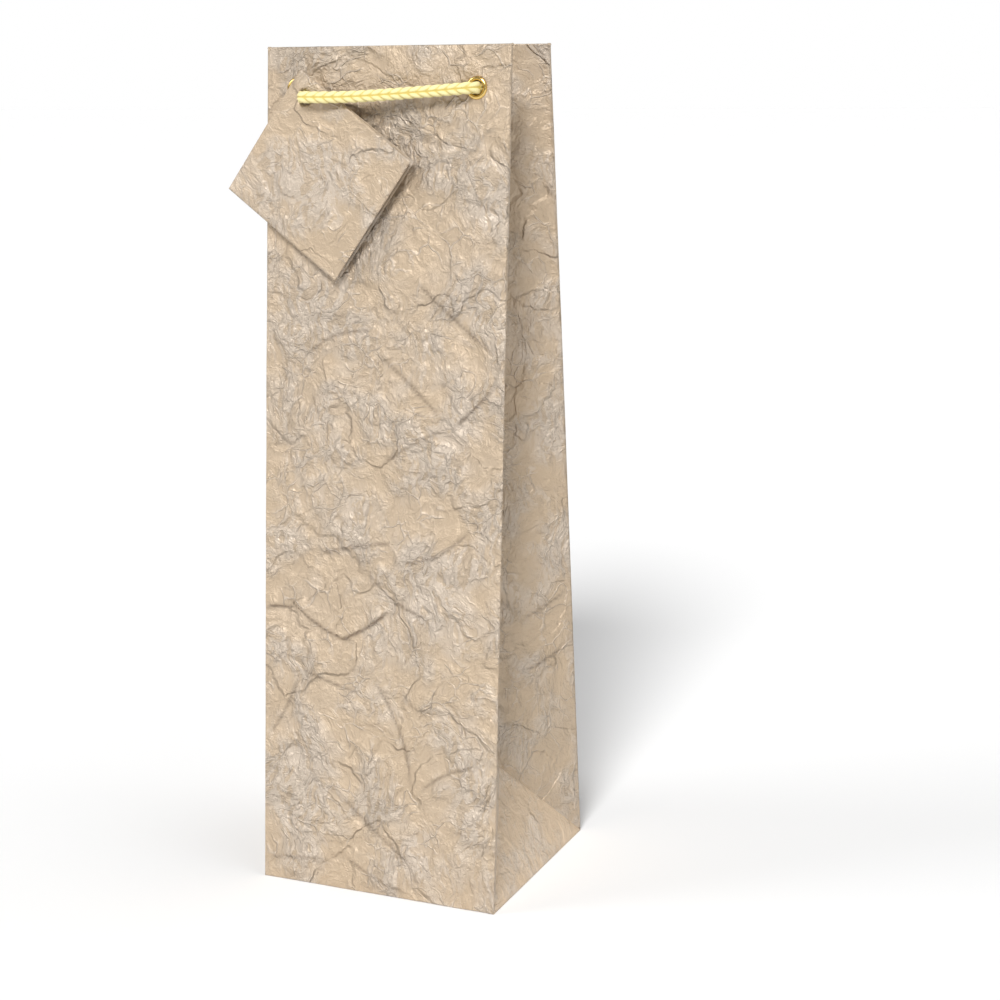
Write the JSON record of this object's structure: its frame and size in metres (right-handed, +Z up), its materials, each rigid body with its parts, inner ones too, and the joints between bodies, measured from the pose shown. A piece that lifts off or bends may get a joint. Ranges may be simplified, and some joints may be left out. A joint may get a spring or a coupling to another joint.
{
  "type": "wine gift bag",
  "caption": "Tall gift bag of crushed pearlescent paper for one bottle, pinched in at the gussets, with a cord handle in eyelets and a folded square tag.",
  "frame": {"origin": "centre of the base, on the ground", "axes": "+Z up; the front panel, with the tag, faces -Y; +X is to the right seen from the front"},
  "size_m": [0.1249, 0.1, 0.3548],
  "materials": {
    "crushed_paper": "pearlescent, crushed",
    "paper_lining": "matt, crushed",
    "card": "matt",
    "tag_paper": "pearlescent",
    "gilt_metal": "polished",
    "cord": "knitted"
  },
  "bodies": {
    "base": {"bottom_front_flap": "crushed_paper", "bottom_back_flap": "crushed_paper", "bottom_side_flaps": "paper_lining", "base_card": "card"},
    "right_foot_triangle": {"right_foot": "crushed_paper"},
    "left_foot_triangle": {"left_foot": "crushed_paper"},
    "front": {"front_panel": "crushed_paper", "front_top_card": "card", "front_hem": "paper_lining", "front_left_eyelet": "gilt_metal", "front_right_eyelet": "gilt_metal", "front_left_washer": "gilt_metal", "front_right_washer": "gilt_metal", "front_handle_cord": "cord", "front_left_knot": "cord", "front_right_knot": "cord"},
    "back": {"back_panel": "crushed_paper", "back_top_card": "card", "back_hem": "paper_lining", "back_left_eyelet": "gilt_metal", "back_right_eyelet": "gilt_metal", "back_left_washer": "gilt_metal", "back_right_washer": "gilt_metal", "back_handle_cord": "cord", "back_left_knot": "cord", "back_right_knot": "cord", "side_seam_flap": "paper_lining"},
    "right_gusset_front_half": {"right_gusset_front": "crushed_paper"},
    "right_gusset_back_half": {"right_gusset_back": "crushed_paper"},
    "left_gusset_front_half": {"left_gusset_front": "crushed_paper"},
    "left_gusset_back_half": {"left_gusset_back": "crushed_paper"},
    "tag_back": {"tag_back_leaf": "tag_paper"},
    "tag_front": {"tag_front_leaf": "tag_paper"}
  },
  "joints": [
    {"name": "mouth_open", "type": "hinge", "parent": "base", "child": "front", "pos_m": [0, -0.05, 0], "axis": [1, 0, 0], "range_deg": [-0.3, 3.4]},
    {"name": "back_tilt", "type": "hinge", "parent": "base", "child": "back", "pos_m": [0, 0.05, 0], "axis": [-1, 0, 0], "range_deg": [-0.3, 3.4]},
    {"name": "right_front_fold", "type": "hinge", "parent": "front", "child": "right_gusset_front_half", "pos_m": [0.055, -0.05, 0], "axis": [0, -0.0815, -0.9967], "range_deg": [-2.7, 30.6]},
    {"name": "left_front_fold", "type": "hinge", "parent": "front", "child": "left_gusset_front_half", "pos_m": [-0.055, -0.05, 0], "axis": [0, 0.0815, 0.9967], "range_deg": [-2.7, 30.6]},
    {"name": "right_back_fold", "type": "hinge", "parent": "back", "child": "right_gusset_back_half", "pos_m": [0.055, 0.05, 0], "axis": [0, -0.0815, 0.9967], "range_deg": [-2.7, 30.6]},
    {"name": "left_back_fold", "type": "hinge", "parent": "back", "child": "left_gusset_back_half", "pos_m": [-0.055, 0.05, 0], "axis": [0, 0.0815, -0.9967], "range_deg": [-2.7, 30.6]},
    {"name": "right_foot_tilt", "type": "hinge", "parent": "base", "child": "right_foot_triangle", "pos_m": [0.055, 0, 0], "axis": [0, 1, 0], "range_deg": [-0.9, 10.2]},
    {"name": "left_foot_tilt", "type": "hinge", "parent": "base", "child": "left_foot_triangle", "pos_m": [-0.055, 0, 0], "axis": [0, -1, 0], "range_deg": [-0.9, 10.2]},
    {"name": "tag_swing", "type": "hinge", "parent": "front", "child": "tag_back", "pos_m": [-0.0329, -0.02858, 0.33447], "axis": [0.011, -0.9997, 0.0197], "range_deg": [-60, 8]},
    {"name": "tag_open", "type": "hinge", "parent": "tag_back", "child": "tag_front", "pos_m": [-0.03936, -0.02911, 0.33918], "axis": [-0.588, -0.0224, -0.8085], "range_deg": [0, 70], "deforming": ["tag_front_leaf"]}
  ],
  "couplings": [
    {"joint": "back_tilt", "follows": "mouth_open", "ratio": 1},
    {"joint": "right_front_fold", "follows": "mouth_open", "ratio": 9},
    {"joint": "left_front_fold", "follows": "mouth_open", "ratio": 9},
    {"joint": "right_back_fold", "follows": "mouth_open", "ratio": 9},
    {"joint": "left_back_fold", "follows": "mouth_open", "ratio": 9},
    {"joint": "right_foot_tilt", "follows": "mouth_open", "ratio": 3},
    {"joint": "left_foot_tilt", "follows": "mouth_open", "ratio": 3}
  ]
}
